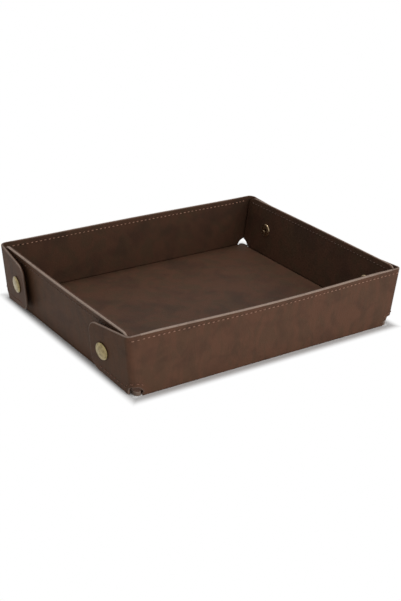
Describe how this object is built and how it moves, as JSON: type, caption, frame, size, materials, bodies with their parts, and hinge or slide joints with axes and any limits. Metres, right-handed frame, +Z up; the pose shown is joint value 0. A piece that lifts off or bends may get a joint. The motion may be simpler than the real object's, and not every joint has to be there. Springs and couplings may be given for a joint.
{
  "type": "desk tray",
  "caption": "Open rectangular leather desk tray with flared ends, fold-down walls and corner tabs that snap onto the outside of the end walls.",
  "frame": {"origin": "centre of the footprint, on the surface that the tray stands on", "axes": "+X along the tray, +Y from the front long wall to the back one, +Z up"},
  "size_m": [0.2708, 0.2044, 0.05],
  "materials": {
    "outer_leather": "mottled matt",
    "lining_leather": "matt nap",
    "fibreboard": "pressed board",
    "brass": "aged satin",
    "spring_wire": "bright wire"
  },
  "bodies": {
    "base": {"base_skin": "outer_leather", "base_board": "fibreboard", "base_lining": "lining_leather", "front_crease": "outer_leather", "back_crease": "outer_leather", "left_crease": "outer_leather", "right_crease": "outer_leather"},
    "front_wall": {"front_wall_skin": "outer_leather", "front_wall_board": "fibreboard", "front_wall_lining": "lining_leather", "front_left_bend": "outer_leather", "front_right_bend": "outer_leather"},
    "back_wall": {"back_wall_skin": "outer_leather", "back_wall_board": "fibreboard", "back_wall_lining": "lining_leather", "back_left_bend": "outer_leather", "back_right_bend": "outer_leather"},
    "left_wall": {"left_wall_skin": "outer_leather", "left_wall_board": "fibreboard", "left_wall_lining": "lining_leather", "front_left_snap_stud": "brass", "front_left_snap_eyelet": "brass", "back_left_snap_stud": "brass", "back_left_snap_eyelet": "brass"},
    "right_wall": {"right_wall_skin": "outer_leather", "right_wall_board": "fibreboard", "right_wall_lining": "lining_leather", "front_right_snap_stud": "brass", "front_right_snap_eyelet": "brass", "back_right_snap_stud": "brass", "back_right_snap_eyelet": "brass"},
    "front_left_tab": {"front_left_tab_skin": "outer_leather", "front_left_tab_core": "fibreboard", "front_left_tab_lining": "lining_leather", "front_left_snap_cap": "brass", "front_left_snap_socket": "brass", "front_left_snap_spring": "spring_wire"},
    "front_right_tab": {"front_right_tab_skin": "outer_leather", "front_right_tab_core": "fibreboard", "front_right_tab_lining": "lining_leather", "front_right_snap_cap": "brass", "front_right_snap_socket": "brass", "front_right_snap_spring": "spring_wire"},
    "back_left_tab": {"back_left_tab_skin": "outer_leather", "back_left_tab_core": "fibreboard", "back_left_tab_lining": "lining_leather", "back_left_snap_cap": "brass", "back_left_snap_socket": "brass", "back_left_snap_spring": "spring_wire"},
    "back_right_tab": {"back_right_tab_skin": "outer_leather", "back_right_tab_core": "fibreboard", "back_right_tab_lining": "lining_leather", "back_right_snap_cap": "brass", "back_right_snap_socket": "brass", "back_right_snap_spring": "spring_wire"}
  },
  "joints": [
    {"name": "front_fold", "type": "hinge", "parent": "base", "child": "front_wall", "pos_m": [0, -0.0992, 0.003], "axis": [1, 0, 0], "range_deg": [0, 83], "deforming": ["front_crease"]},
    {"name": "back_fold", "type": "hinge", "parent": "base", "child": "back_wall", "pos_m": [0, 0.0992, 0.003], "axis": [-1, 0, 0], "range_deg": [0, 83], "deforming": ["back_crease"]},
    {"name": "left_fold", "type": "hinge", "parent": "base", "child": "left_wall", "pos_m": [-0.12112, 0, 0.003], "axis": [0, 1, 0], "range_deg": [0, 92.5], "deforming": ["left_crease"]},
    {"name": "right_fold", "type": "hinge", "parent": "base", "child": "right_wall", "pos_m": [0.12112, 0, 0.003], "axis": [0, -1, 0], "range_deg": [0, 92.5], "deforming": ["right_crease"]},
    {"name": "front_left_tab_swing", "type": "hinge", "parent": "front_wall", "child": "front_left_tab", "pos_m": [-0.1241, -0.1002, 0], "axis": [-0.1132, 0, 0.9936], "range_deg": [0, 84.4], "deforming": ["front_left_bend", "front_left_snap_spring"]},
    {"name": "front_right_tab_swing", "type": "hinge", "parent": "front_wall", "child": "front_right_tab", "pos_m": [0.1241, -0.1002, 0], "axis": [-0.1132, 0, -0.9936], "range_deg": [0, 84.4], "deforming": ["front_right_bend", "front_right_snap_spring"]},
    {"name": "back_left_tab_swing", "type": "hinge", "parent": "back_wall", "child": "back_left_tab", "pos_m": [-0.1241, 0.1002, 0], "axis": [0.1132, 0, -0.9936], "range_deg": [0, 84.4], "deforming": ["back_left_bend", "back_left_snap_spring"]},
    {"name": "back_right_tab_swing", "type": "hinge", "parent": "back_wall", "child": "back_right_tab", "pos_m": [0.1241, 0.1002, 0], "axis": [0.1132, 0, 0.9936], "range_deg": [0, 84.4], "deforming": ["back_right_bend", "back_right_snap_spring"]}
  ],
  "couplings": [
    {"joint": "back_fold", "follows": "front_fold", "ratio": 1},
    {"joint": "left_fold", "follows": "front_fold", "ratio": 1.1145},
    {"joint": "right_fold", "follows": "front_fold", "ratio": 1.1145}
  ]
}
